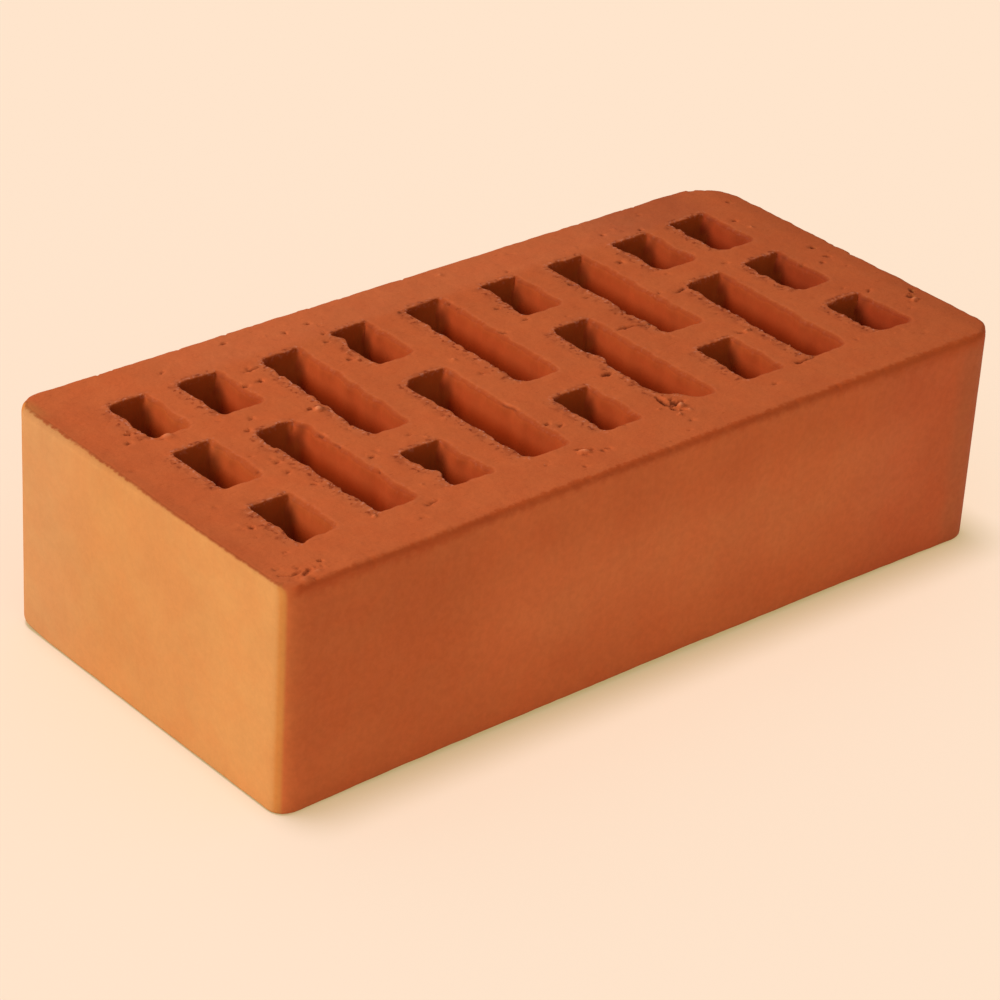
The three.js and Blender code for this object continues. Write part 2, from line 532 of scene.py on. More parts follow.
def outer_rim(surface, loop):
    """The upper arris: dragged down at the front, pressed at the left and torn at the right."""
    # The left side has its clay to the right, and so on.
    left, right, front, _ = facing(loop)
    spots = loop.spots()
    corner = np.linalg.norm(loop.points + (LENGTH / 2, WIDTH / 2), axis=1)
    dragged = FRONT_ARRIS + noise_at(spots, FRONT_ARRIS_NOISE)
    rounding = SHARP_ARRIS + smoothstep(0.3, 0.95, front) * dragged
    rounding += left * (LEFT_ARRIS + smoothstep(-25, 35, loop.points[:, 1]))
    rounding += FRONT_LEFT_ARRIS * np.exp(-((corner / FRONT_LEFT_ARRIS_REACH) ** 2))
    ragged = noise_at(spots, *ARRIS_BITES) + right * noise_at(spots, *RIGHT_ARRIS_BITES)
    chips = np.clip(noise_at(spots, ARRIS_CHIPS) - CHIP_ONSET, 0, 1) * (1.2 + 0.5 * right)

    def row(inward, depth, tilt, weight):
        lower = HEIGHT - depth - weight * 0.5 * chips
        plan = inward + weight * (ragged + chips)
        # Painted shade on the rounding of the left arris, strongest halfway round, where it faces the
        # light.
        painted_rim_shade = 0.5 * left * math.sin(2 * math.radians(tilt))
        return surface.add_row(loop, plan, lower, tilt, pressed=painted_rim_shade)

    rows = [row(rounding + APRON, 0.0, 90.0, 0.0), row(rounding + INNER_APRON, 0.0, 90.0, 0.4)]
    for tilt in RIM_TILTS:
        inward, depth = quarter_round(rounding, tilt)
        rows.append(row(inward, depth, tilt, 0.9))
    rows.append(row(0.0, rounding + 0.7, 0.0, 0.4))
    return rows, np.zeros(len(spots))


def quarter_round(radius, tilt):
    """How far in and how far down a rounded edge is where it faces `tilt` degrees up."""
    tilt = math.radians(tilt)
    return radius * (1 - math.cos(tilt)), radius * (1 - math.sin(tilt))


def add_walls(surface, loop):
    """The wall under a loop with its rims. Returns the rows where the two beds begin."""
    upper, wall = hole_rim(surface, loop) if loop.is_hole else outer_rim(surface, loop)
    for above, below in zip(upper, upper[1:]):
        surface.join_rows(above, below)
    inside = float(loop.is_hole)
    coarse, wall = loop.filled(inside * CORNER_FILL).halved(), wall[::2]
    depths = np.arange(FIRST_SIDE_ROW, HEIGHT - BOTTOM_ROUNDING - 1.0, SIDE_ROW_SPACING)
    if loop.is_hole:
        depths = HOLE_ROW_DEPTHS
    lower = [surface.add_row(coarse, wall, HEIGHT - depth, 0.0, inside=inside) for depth in depths]
    corner = np.linalg.norm(coarse.points - (-LENGTH / 2, WIDTH / 2), axis=1)
    worn = BACK_LEFT_FOOT * np.exp(-((corner / BACK_LEFT_FOOT_REACH) ** 2))
    rounding = BOTTOM_ROUNDING + (1 - inside) * worn
    for tilt in reversed(RIM_TILTS):
        inward, height = quarter_round(rounding, tilt)
        share = 1 - tilt / 90.0
        lower.append(surface.add_row(coarse, wall + inward, height, -tilt, inside=inside * share))
    for apron in (INNER_APRON, APRON):
        lower.append(surface.add_row(coarse, wall + rounding + apron, 0.0, -90.0))
    surface.join_finer_row(upper[-1], lower[0])
    for above, below in zip(lower, lower[1:]):
        surface.join_rows(above, below)
    return upper[0], lower[-1]


def inside_polygon(points, polygon):
    """Which points lie in a closed polygon."""
    x, y = points[:, 0:1], points[:, 1:2]
    x0, y0 = polygon[:, 0], polygon[:, 1]
    x1, y1 = np.roll(x0, -1), np.roll(y0, -1)
    spans = (y0 > y) != (y1 > y)
    rise = np.where(y1 == y0, 1.0, y1 - y0)
    crossing = x0 + (y - y0) * (x1 - x0) / rise
    return (spans & (x < crossing)).sum(axis=1) % 2 == 1


def in_clay(points, rims):
    """Which points lie inside the first rim and outside all the others."""
    keep = inside_polygon(points, rims[0])
    for rim in rims[1:]:
        near = np.all((points > rim.min(axis=0)) & (points < rim.max(axis=0)), axis=1)
        keep[near] &= ~inside_polygon(points[near], rim)
    return keep


def honeycomb(low, high, spacing):
    """Points of a triangular lattice over a rectangle. All calls share the same lattice."""
    row_step = spacing * math.sqrt(3) / 2
    rows = []
    for index in range(math.ceil(low[1] / row_step), math.floor(high[1] / row_step) + 1):
        first = math.ceil(low[0] / spacing) * spacing + (index % 2) * spacing / 2
        x = np.arange(first, high[0], spacing)
        rows.append(np.column_stack([x, np.full(len(x), index * row_step)]))
    return np.concatenate(rows)


def mark_distance(points, mark):
    """How far points are from a mark's centre, as a share of its reach."""
    x, y, half_length, half_width, turn, _ = mark
    turn = math.radians(turn)
    away = points[:, :2] - (x, y)
    u = (away[:, 0] * math.cos(turn) + away[:, 1] * math.sin(turn)) / half_length
    v = (away[:, 1] * math.cos(turn) - away[:, 0] * math.sin(turn)) / half_width
    return np.hypot(u, v)


def bed_points(rims, spacing, marks, rng):
    """Points to mesh a bed face with, closer together at its marks."""
    coarse = honeycomb(rims[0].min(axis=0), rims[0].max(axis=0), spacing)
    coarse += rng.uniform(-0.2, 0.2, coarse.shape) * spacing
    away = np.full(len(coarse), np.inf)
    fine = [np.zeros((0, 2))]
    for mark in marks:
        centre = np.array(mark[:2])
        reach = 1.3 * max(mark[2], mark[3])
        patch = honeycomb(centre - reach, centre + reach, MARK_SPACING)
        fine.append(patch[mark_distance(patch, mark) < 1.25])
        away = np.minimum(away, mark_distance(coarse, mark))
    coarse = coarse[away > 1.5]
    fine = np.unique(np.concatenate(fine).round(6), axis=0)
    points = np.concatenate([coarse, fine])
    clearance = np.repeat([0.55 * spacing, 0.6 * MARK_SPACING], [len(coarse), len(fine)])
    keep = in_clay(points, rims)
    points, clearance = points[keep], clearance[keep]
    rim_points = np.concatenate(rims)
    tree = kdtree.KDTree(len(rim_points))
    for index, (x, y) in enumerate(rim_points):
        tree.insert((x, y, 0), index)
    tree.balance()
    gaps = np.array([tree.find((x, y, 0))[2] for x, y in points])
    return points[gaps > clearance]


def fill_bed(surface, rows, height, spacing, marks, rng):
    """Fills a bed face between the outline's inner row and the holes' rows with triangles."""
    all_points = np.concatenate(surface.points)
    rims = [all_points[row][:, :2] for row in rows]
    edges = []
    start = 0
    for rim in rims:
        edges += [(start + i, start + (i + 1) % len(rim)) for i in range(len(rim))]
        start += len(rim)
    filling = bed_points(rims, spacing, marks, rng)
    flat = np.concatenate([*rims, filling])
    _, _, faces, *_ = delaunay_2d_cdt([Vector(p) for p in flat], edges, [], 1, 1e-6, False)
    faces = np.array(faces)
    faces = faces[in_clay(flat[faces].mean(axis=1), rims)]

    count = len(filling)
    normal = [0.0, 0.0, 1.0 if height > 0 else -1.0]
    points = np.column_stack([filling, np.full(count, height)])
    added = surface.add_points(points, np.tile(normal, (count, 1)), np.zeros((count, len(MASKS))))
    faces = np.concatenate([*rows, added])[faces]
    surface.faces += (faces if height > 0 else faces[:, ::-1]).tolist()


def all_marks(rng):
    """The marks of the upper bed: those listed and small ones strewn over it."""
    marks = list(MARKS)
    limit = np.array([LENGTH / 2 - STREWN_MARGIN, WIDTH / 2 - STREWN_MARGIN])
    for index in range(STREWN_PITS + STREWN_CRUMBS):
        x, y = rng.uniform(-limit, limit)
        size = STREWN_SMALLEST + STREWN_SPREAD * rng.random() ** 3
        if index < STREWN_PITS:
            half_length = size * rng.uniform(1.2, 3.5)
            marks.append((x, y, half_length, size, rng.uniform(-25, 25), -0.8 * size))
        else:
            marks.append((x, y, 1.3 * size, size, rng.uniform(-90, 90), 0.6 * size))
    return marks


def skin_relief(points, normals, inside):
    """How far the skin of each face stands out along the normals, in mm."""
    bed = np.abs(normals[:, 2])
    below = smoothstep(*CORE_RELIEF_DEPTH, HEIGHT - points[:, 2])
    core = inside * below * noise_at(points, CORE_RELIEF)
    return bed * noise_at(points, *BED_RELIEF) + (1 - bed) * (noise_at(points, *SIDE_RELIEF) + core)


def relief(points, normals, inside, marks):
    """How far each vertex stands out in mm, and how much it is in a pit and in a crumb."""
    stand = skin_relief(points, normals, inside)
    depth = np.zeros(len(points))
    crumb = np.zeros(len(points))
    edge = 1 + noise_at(points, MARK_EDGE)
    rows = np.flatnonzero(normals[:, 2] > 0.45)
    spots = points[rows]
    for mark in marks:
        height = mark[-1]
        away = mark_distance(spots, mark)
        near = away < 1.4
        at = rows[near]
        away = away[near] * edge[at]
        if height < 0:
            bowl = smoothstep(1.0, 0.5, away)
            stand[at] += height * bowl
            depth[at] = np.maximum(depth[at], bowl * smoothstep(-0.3, 1.2, -height))
        else:
            bump = np.clip(1 - away**2, 0, 1)
            stand[at] += height * np.sqrt(bump)
            crumb[at] = np.maximum(crumb[at], height * bump)
    ridges = np.ones(len(rows))
    for layer in CRUMBLY_RIDGES:
        ridges -= np.abs(noise_at(spots, layer))
    for patch in CRUMBLY:
        loose = patch[-1] * np.clip(1 - mark_distance(spots, patch) ** 2, 0, 1)
        hollow = loose * (0.5 + 1.1 * smoothstep(0.25, -0.3, ridges))
        stand[rows] += 0.6 * loose * (ridges - 0.35)
        crumb[rows] = np.maximum(crumb[rows], 0.4 * loose * smoothstep(0.45, 0.9, ridges))
        depth[rows] = np.maximum(depth[rows], hollow)
    return stand, depth, crumb


def frayed_by(points, loops):
    """How frayed the bed is at each vertex, left of the holes and a little behind them."""
    fray = np.zeros(len(points))
    for loop in loops:
        for across, way, reach in ((0, -1, FRAYED_REACH), (1, 1, FRAYED_REACH_BACK)):
            along = 1 - across
            rim = loop.points[way * loop.into_clay[:, across] > 0.5]
            rim = rim[np.argsort(rim[:, along])]
            edge = np.interp(points[:, along], rim[:, along], rim[:, across])
            away = way * (points[:, across] - edge)
            beside = (points[:, along] > rim[0, along]) & (points[:, along] < rim[-1, along])
            beside &= away > -FRAYED_PAST_RIM
            fray[beside] = np.maximum(fray[beside], smoothstep(reach, 0.0, away[beside]))
    return fray * (points[:, 2] > HEIGHT - FRAYED_DEPTH)


def corner_gaps(points, loops):
    """How far each vertex is in plan from the nearest back right corner of a hole, in mm."""
    gaps = [loop.back_right_gap(points[:, :2]) for loop in loops]
    return np.minimum(np.min(gaps, axis=0), FARTHEST_CORNER)


def make_brick():
    """The brick's mesh object, in metres."""
    rng = np.random.default_rng(SEED)
    marks = all_marks(rng)
    surface = Surface()
    holes = hole_loops()
    ends = [add_walls(surface, loop) for loop in (outer_loop(), *holes)]
    fill_bed(surface, [top for top, _ in ends], HEIGHT, TOP_SPACING, marks + list(CRUMBLY), rng)
    fill_bed(surface, [bottom for _, bottom in ends], 0.0, BOTTOM_SPACING, (), rng)

    points = np.concatenate(surface.points)
    normals = np.concatenate(surface.normals)
    masks = np.concatenate(surface.masks)
    stand, depth, crumb = relief(points, normals, masks[:, 0], marks)
    points += normals * stand[:, None]
    low = np.clip(1 - points[:, 2] / HEIGHT, 0, 1)
    points[:, 2] += HOLLOW * low * (1 - (2 * points[:, 0] / LENGTH) ** 2)
    points[:, 2] = np.maximum(points[:, 2], 0.0)

    mesh = bpy.data.meshes.new("fired_brick")
    mesh.from_pydata((points * MM).tolist(), [], surface.faces)
    mesh.validate()
    mesh.shade_smooth()
    values = dict(zip(MASKS, masks.T))
    values |= {"pit": depth, "crumb": crumb}
    values |= {"frayed": frayed_by(points, holes), "corner_gap": corner_gaps(points, holes)}
    for name, value in values.items():
        attribute = mesh.attributes.new(name, "FLOAT", "POINT")
        attribute.data.foreach_set("value", value.astype(np.float32))
    return add_object("fired_brick", mesh)


# ---- materials


class Nodes:
    """Adds nodes to a tree and joins them."""

    def __init__(self, tree):
        self.tree = tree
        tree.nodes.clear()

    def put(self, socket, value):
        """Gives a socket a value, or joins another socket to it. All colours are opaque."""
        if isinstance(value, bpy.types.NodeSocket):
            self.tree.links.new(value, socket)
        else:
            socket.default_value = (*value, 1.0) if socket.type == "RGBA" else value

    def add(self, kind, inputs=None, **settings):
        """A new node. `inputs` are values or sockets by name or number."""
        node = self.tree.nodes.new("ShaderNode" + kind)
        for name, value in settings.items():
            setattr(node, name, value)
        for name, value in (inputs or {}).items():
            self.put(node.inputs[name], value)
        return node

    def mix(self, factor, first, second, blend="MIX"):
        """A mix of two colours."""
        node = self.add("Mix", data_type="RGBA", blend_type=blend)
        sockets = (node.inputs[0], node.inputs[6], node.inputs[7])
        for socket, value in zip(sockets, (factor, first, second)):
            self.put(socket, value)
        return node.outputs[2]

    def math(self, operation, first, second=0.0):
        return self.add("Math", {0: first, 1: second}, operation=operation).outputs[0]

    def product(self, first, *others):
        """The product of some values."""
        for value in others:
            first = self.math("MULTIPLY", first, value)
        return first

    def stretch(self, vector, factors):
        return self.add("VectorMath", {0: vector, 1: factors}, operation="MULTIPLY").outputs[0]

    def split(self, vector):
        """A vector's X, Y and Z by name."""
        return self.add("SeparateXYZ", {0: vector}).outputs

    def ramp(self, value, low, high, to_low=0.0, to_high=1.0):
        """Maps a value smoothly from one range to another."""
        inputs = {0: value, 1: low, 2: high, 3: to_low, 4: to_high}
        return self.add("MapRange", inputs, interpolation_type="SMOOTHSTEP").outputs["Result"]

    def noise(self, vector, size, detail=3.0):
        """Noise from 0 to 1. `size` is that of its features, in the vector's unit."""
        inputs = {"Vector": vector, "Scale": 1 / size, "Detail": detail, "Roughness": 0.55}
        return self.add("TexNoise", inputs).outputs["Fac"]

    def attribute(self, name):
        return self.add("Attribute", attribute_name=name).outputs["Fac"]


# Clay of each skin. A clay is a colour, and a tone is what one is multiplied with.
BED_CLAY = (0.515, 0.106, 0.028)
SIDE_CLAY = (0.505, 0.104, 0.0252)
# Paler partly on its own and partly as painted light of the end lit from the left.
HEADER_CLAY_AND_LIGHT = (0.540, 0.211, 0.0587)
# Painted light on the rounded corners between the headers and the sides.
ARRIS_PAINTED_LIGHT = (0.56, 0.190, 0.040)
# Painted shade along the upper front arris.
ARRIS_SHADE_CLAY = (0.43, 0.070, 0.0138)
FRAYED_CLAY = (0.42, 0.105, 0.034)
TORN_CLAY = (0.56, 0.20, 0.12)
# Darker clay in pits and hollows, with painted shade in them.
PIT_CLAY_AND_SHADE = (0.22, 0.04, 0.01)
CRUMB_CLAY = (0.70, 0.22, 0.09)
BLOTCH_TONE = (1.06, 1.07, 1.08)
SPECK_TONE = (0.62, 0.48, 0.40)
FRAYED_TONE = (0.84, 0.79, 0.77)
# Painted shade where the bed turns down to the ends, on the rounding that faces the light.
BED_ARRIS_PAINTED_SHADE = (0.80, 0.82, 0.80)
# Painted shade on the rounded rims that the wire presses, where they face the light.
PRESSED_RIM_PAINTED_SHADE = (0.75, 0.69, 0.65)
SCORE_TONE = (0.85, 0.80, 0.75)
COOL_TONE = (1.0, 0.97, 0.96)
WARM_TONE = (1.0, 1.03, 1.04)

# Clay of the holes' walls, at the mouth and further down. Deeper down the side walls are redder and
# darker as painted shade and red bounce light, and the end walls go from painted shade at the mouth
# to painted fill light below. The ends are the front and back walls, and the corner is the back
# right one: painted shade dims the side walls beside it, and painted light brightens it deep down.
MOUTH_CLAY = (0.43, 0.070, 0.0135)
CORE_CLAY = (0.45, 0.065, 0.0130)
DEEP_CLAY_AND_SHADE = (0.42, 0.043, 0.0048)
MOUTH_END_SHADE_CLAY = (0.33, 0.050, 0.0054)
DEEP_END_LIGHT_CLAY = (0.43, 0.087, 0.0135)
CORNER_PAINTED_LIGHT_CLAY = (0.52, 0.10, 0.016)
CORNER_PAINTED_SHADE_TONE = (0.80, 0.84, 0.86)

# Tones laid over zones of each skin. Every row is a tone and the limits of its zone: an axis, the
# place where the tone starts to show and the place where it shows fully, in mm.
SIDE_TONES = (
    ((1.09, 1.20, 1.30), ("Z", 10, 30), ("Z", 56, 38), ("X", -75, -40), ("X", 108, 85)),
    ((0.94, 0.93, 0.92), ("X", -55, -75), ("Z", 12, 26)),
    ((0.97, 0.89, 0.98), ("X", 55, 95)),
    ((0.88, 1.02, 1.11), ("X", 108, 115)),
)
# Painted light on the side where the front left corner turns to the left end.
SIDE_CORNER_PAINTED_LIGHT = (1.10, 1.22, 1.24)
SIDE_CORNER_ZONE = (("X", -116, -120),)
HEADER_TONES = (
    ((1.06, 1.10, 1.10), ("Y", -10, -45)),
    ((0.96, 1.03, 1.22), ("Y", 10, 50)),
)
BED_TONES = (
    ((0.95, 0.95, 0.95), ("X", -104, -112), ("Y", -48, -38)),
    ((0.90, 0.90, 0.90), ("X", -118, -123.5)),
    ((0.96, 1.28, 1.18), ("X", -119.5, -122.5), ("Y", 44, 54)),
    ((0.94, 0.93, 0.94), ("X", 88, 108)),
    ((0.88, 0.90, 1.00), ("X", 62, 84), ("X", 118, 104), ("Y", 41, 47)),
    ((0.90, 0.90, 0.90), ("X", 117, 122)),
)
BED_BACK_TONE = (1.05, 1.13, 1.28)
BED_BACK_ZONE = (("Y", 41, 47),)
BED_MIDDLE_ZONE = (("X", -105, -60), ("X", 105, 70))
CORE_TONES = (
    ((1.04, 1.18, 1.18), ("X", -70, -94)),
    ((0.83, 0.72, 0.76), ("X", 68, 106)),
)

# Painted shade along the upper front arris: a darker band on the front just under it. Its top is in
# mm below the arris, or on the bed where it is less than zero, and above it the shade sets in over
# its rise. `ARRIS_SHADE_LEFT` is where it moves on to the bed, and `ARRIS_SHADE_RIGHT` where it grows
# deeper.
ARRIS_SHADE_TOP = -1.0
ARRIS_SHADE_TOP_LEFT = 0.3
ARRIS_SHADE_RISE = 1.4
ARRIS_SHADE_RISE_LEFT = 2.2
ARRIS_SHADE_DEPTH = 4.2
ARRIS_SHADE_DEPTH_RIGHT = 7.0
ARRIS_SHADE_WANDER = 0.6
ARRIS_SHADE_LEFT = (-0.32 * LENGTH, -0.2 * LENGTH)
ARRIS_SHADE_RIGHT = (0.15 * LENGTH, 0.45 * LENGTH)
ARRIS_SHADE_START = (1.0 - LENGTH / 2, 5.0 - LENGTH / 2)

# Where the skin of the headers comes in: how far along the brick, and how far the surface has
# turned to the end. It is brown, with painted light on the rounded corner, until `HEADER_ARRIS_TURN`,
# and pale past it.
HEADER_REACH = (LENGTH / 2 - 7.0, LENGTH / 2 - 4.0)
HEADER_TURN = (0.60, 0.78)
HEADER_ARRIS_TURN = (0.86, 0.985)


class Spot:
    """Where on the brick a shaded point lies, in mm, and which way it faces."""

    def __init__(self, n):
        self.place = n.stretch(n.add("TexCoord").outputs["Object"], (1000, 1000, 1000))
        self.axes = n.split(self.place)
        self.depth = n.math("SUBTRACT", HEIGHT, self.axes["Z"])
        normal = n.split(n.add("NewGeometry").outputs["Normal"])
        self.up = n.math("ABSOLUTE", normal["Z"])
        self.sideways = n.math("ABSOLUTE", normal["Y"])
        level = n.math("POWER", n.math("SUBTRACT", 1.0, n.product(self.up, self.up)), 0.5)
        self.endways = n.math("DIVIDE", n.math("ABSOLUTE", normal["X"]), n.math("MAXIMUM", level, 0.05))


def zone(n, spot, limits):
    """1 inside a zone and 0 outside it."""
    return n.product(*[n.ramp(spot.axes[axis], start, full) for axis, start, full in limits])


def toned(n, spot, colour, tones):
    """A colour with each tone laid over its zone."""
    for tone, *limits in tones:
        colour = n.mix(zone(n, spot, limits), colour, tone, "MULTIPLY")
    return colour


def side_skin(n, spot):
    """The skin of the long sides: blotched, paler at mid height, duller at both ends, with painted light
    where the front left corner turns to the left end.
    """
    blotches = n.ramp(n.noise(spot.place, 2.2), 0.35, 0.65)
    colour = toned(n, spot, n.mix(blotches, SIDE_CLAY, BLOTCH_TONE, "MULTIPLY"), SIDE_TONES)
    # Painted light on the front left corner, growing as it turns to the left end.
    corner = n.product(zone(n, spot, SIDE_CORNER_ZONE), n.ramp(spot.endways, 0.0, 0.6, 0.25, 1.0))
    return n.mix(corner, colour, SIDE_CORNER_PAINTED_LIGHT, "MULTIPLY")


def header_skin(n, spot):
    """The pale skin of the headers, partly its own colour and partly painted light of the lit end,
    between browner arrises with painted light on their rounding.
    """
    header = toned(n, spot, HEADER_CLAY_AND_LIGHT, HEADER_TONES)
    # Painted light on the rounded corners beside the header.
    return n.mix(n.ramp(spot.endways, *HEADER_ARRIS_TURN), ARRIS_PAINTED_LIGHT, header)


def bed_skin(n, spot):
    """The cut skin of the beds: paler at the back, duller at the ends, frayed by the holes."""
    middle = n.ramp(zone(n, spot, BED_MIDDLE_ZONE), 0.0, 1.0, 0.1, 1.0)
    back = n.product(zone(n, spot, BED_BACK_ZONE), middle)
    colour = toned(n, spot, n.mix(back, BED_CLAY, BED_BACK_TONE, "MULTIPLY"), BED_TONES)
    frayed = n.attribute("frayed")
    near_rim = n.ramp(frayed, 0.0, 0.7)
    patches = n.product(near_rim, n.ramp(n.noise(spot.place, 2.8, 1.0), 0.45, 0.6))
    specks = n.product(near_rim, n.ramp(n.noise(spot.place, 1.4), 0.54, 0.66))
    colour = n.mix(n.product(frayed, 0.45), colour, FRAYED_CLAY)
    colour = n.mix(patches, colour, FRAYED_TONE, "MULTIPLY")
    return n.mix(specks, colour, SPECK_TONE, "MULTIPLY")


def core_skin(n, spot):
    """The walls of the holes: redder and darker below as painted shade, the end walls with painted shade
    at the mouth and painted fill light below, painted shade beside the back right corners and painted
    light in them.
    """
    depth, gap = spot.depth, n.attribute("corner_gap")
    wall = n.mix(n.ramp(depth, 0.5, 4.0), MOUTH_CLAY, CORE_CLAY)
    # Painted shade and red bounce light deeper down the walls.
    wall = n.mix(n.ramp(depth, 4.5, 9.5), wall, DEEP_CLAY_AND_SHADE)
    # Painted shade on the side walls beside the back right corners.
    beside = n.product(n.ramp(gap, 5.6, 2.8), n.ramp(gap, 0.8, 2.4), n.ramp(depth, 8.0, 6.0))
    wall = toned(n, spot, n.mix(beside, wall, CORNER_PAINTED_SHADE_TONE, "MULTIPLY"), CORE_TONES)
    # The end walls: painted shade at the mouth and painted fill light below.
    end = n.mix(n.ramp(depth, 0.5, 7.0), MOUTH_END_SHADE_CLAY, DEEP_END_LIGHT_CLAY)
    skin = n.mix(n.ramp(spot.sideways, 0.6, 0.9), wall, end)
    # Painted light in the back right corners, deep down.
    painted_corner_light = n.product(n.ramp(gap, 3.6, 1.2), n.ramp(depth, 4.5, 7.5))
    return n.mix(painted_corner_light, skin, CORNER_PAINTED_LIGHT_CLAY)


def arris_shade_share(n, spot):
    """How much painted shade darkens the clay along the upper front arris.

    `along` runs over the arris: it is the depth below the bed on the front, and less than zero on
    the bed.
    """
    x = spot.axes["X"]
    inset = n.math("ADD", spot.axes["Y"], WIDTH / 2)
    wander = n.ramp(n.noise(spot.place, 2.0, 2.0), 0.3, 0.7, -ARRIS_SHADE_WANDER, ARRIS_SHADE_WANDER)
    along = n.math("ADD", n.math("SUBTRACT", spot.depth, inset), wander)
    below = n.math("SUBTRACT", along, n.ramp(x, *ARRIS_SHADE_LEFT, ARRIS_SHADE_TOP_LEFT, ARRIS_SHADE_TOP))
    reach = n.ramp(x, *ARRIS_SHADE_RIGHT, ARRIS_SHADE_DEPTH, ARRIS_SHADE_DEPTH_RIGHT)
    return n.product(
        n.ramp(below, n.ramp(x, *ARRIS_SHADE_LEFT, -ARRIS_SHADE_RISE_LEFT, -ARRIS_SHADE_RISE), 0.0),
        n.ramp(n.math("DIVIDE", below, reach), 1.0, 0.15),
        n.ramp(n.math("MINIMUM", spot.depth, inset), 3.0, 2.0),
        n.ramp(x, *ARRIS_SHADE_START),
    )


def outer_skin(n, spot):
    """The skin of the outside: beds, sides, headers and arrises."""
    at_end = n.ramp(n.math("ABSOLUTE", spot.axes["X"]), *HEADER_REACH)
    at_end = n.product(n.ramp(spot.endways, *HEADER_TURN), at_end)
    sides = n.mix(at_end, side_skin(n, spot), header_skin(n, spot))
    # Painted shade where the bed turns down to the ends, on the rounding that faces the light.
    turning_and_shaded = n.product(at_end, n.ramp(spot.up, 0.998, 0.97))
    bed = n.mix(turning_and_shaded, bed_skin(n, spot), BED_ARRIS_PAINTED_SHADE, "MULTIPLY")
    wavy = n.product(turning_and_shaded, n.ramp(n.noise(spot.place, 1.5), 0.35, 0.65, -0.06, 0.06))
    edge = n.ramp(at_end, 0.0, 1.0, 0.3, n.ramp(spot.axes["Y"], -20.0, 20.0, 0.5, 0.75))
    colour = n.mix(n.ramp(n.math("ADD", spot.up, wavy), edge, 0.97), sides, bed)
    # Painted shade along the upper front arris.
    return n.mix(arris_shade_share(n, spot), colour, ARRIS_SHADE_CLAY)


def worn(n, spot, colour):
    """A colour with painted shade on the rims the wire presses, and the marks of the cut: torn rims,
    pits with partly painted shade, crumbs and scores.
    """
    flecks = n.product(n.attribute("torn"), n.ramp(n.noise(spot.place, 1.0), 0.52, 0.68))
    scores = n.ramp(n.noise(n.stretch(spot.place, (0.2, 1, 1)), 0.6, 2.0), 0.60, 0.78)
    # Painted shade on the rounded rims that the wire presses.
    colour = n.mix(n.attribute("pressed"), colour, PRESSED_RIM_PAINTED_SHADE, "MULTIPLY")
    colour = n.mix(flecks, colour, TORN_CLAY)
    # Darker in pits and hollows, with painted shade in them.
    colour = n.mix(n.ramp(n.attribute("pit"), 0.1, 1.0, 0.0, 0.95), colour, PIT_CLAY_AND_SHADE)
    colour = n.mix(n.ramp(n.attribute("crumb"), 0.0, 1.0, 0.0, 0.85), colour, CRUMB_CLAY)
    return n.mix(n.product(scores, spot.up), colour, SCORE_TONE, "MULTIPLY")


def mottled(n, spot, colour):
    """A colour with mottles, blotches, speckles and warmer and cooler places."""
    mottle = n.ramp(n.noise(spot.place, 20.0), 0.3, 0.7, 0.97, 1.03)
    blotch = n.ramp(n.noise(spot.place, 1.8, 1.0), 0.3, 0.7, 0.982, 1.018)
    speckle = n.ramp(n.noise(spot.place, 0.7, 2.0), 0.3, 0.7, 0.985, 1.015)
    tone = n.product(mottle, blotch, speckle)
    grey = n.add("CombineXYZ", {0: tone, 1: tone, 2: tone}).outputs[0]
    warmth = n.mix(n.ramp(n.noise(spot.place, 11.0), 0.35, 0.65), COOL_TONE, WARM_TONE)
    return n.mix(1.0, n.mix(1.0, colour, grey, "MULTIPLY"), warmth, "MULTIPLY")


def clay_colour(n, spot):
    """The colour of the clay all over the brick."""
    core = core_skin(n, spot)
    colour = n.mix(n.ramp(n.attribute("inside"), 0.0, 0.8), outer_skin(n, spot), core)
    return mottled(n, spot, worn(n, spot, colour))


CUT_BUMP = 0.00007
SKIN_BUMP = 0.00001


def clay_bump(n, spot, bed):
    """The fine grain: a rough, dragged cut on the beds and a smooth skin elsewhere."""
    dragged = n.stretch(spot.place, (0.12, 1, 1))
    upright = n.stretch(spot.place, (1, 1, 0.06))
    cut = n.math("ADD", n.noise(spot.place, 0.8, 4.0), n.product(n.noise(dragged, 0.9, 2.0), 0.5))
    cut = n.math("ADD", cut, n.product(n.noise(spot.place, 2.2, 1.0), 1.6))
    skin = n.math("ADD", n.noise(spot.place, 0.5), n.noise(upright, 0.6, 2.0))
    rough_cut = n.add("Bump", {"Strength": bed, "Distance": CUT_BUMP, "Height": cut})
    fine_skin = n.add(
        "Bump",
        {"Strength": 1.0, "Distance": SKIN_BUMP, "Height": skin, "Normal": rough_cut.outputs[0]},
    )
    return fine_skin.outputs[0]


def clay_material():
    """Fired clay: matt, with a smooth skin on the sides and a rough cut on the beds."""
    material = bpy.data.materials.new("fired_clay")
    material.use_nodes = True
    n = Nodes(material.node_tree)
    shader = n.add("BsdfPrincipled", {"Specular IOR Level": 0.08})
    n.add("OutputMaterial", {"Surface": shader.outputs[0]})
    spot = Spot(n)
    bed = n.ramp(spot.up, 0.55, 0.85)
    wear = n.ramp(n.noise(spot.place, 3.0), 0.3, 0.7, -0.05, 0.05)
    n.put(shader.inputs["Base Color"], clay_colour(n, spot))
    n.put(shader.inputs["Roughness"], n.math("ADD", n.ramp(bed, 0, 1, 0.74, 0.9), wear))
    n.put(shader.inputs["Normal"], clay_bump(n, spot, bed))
    return material


# ---- stage, lights, camera

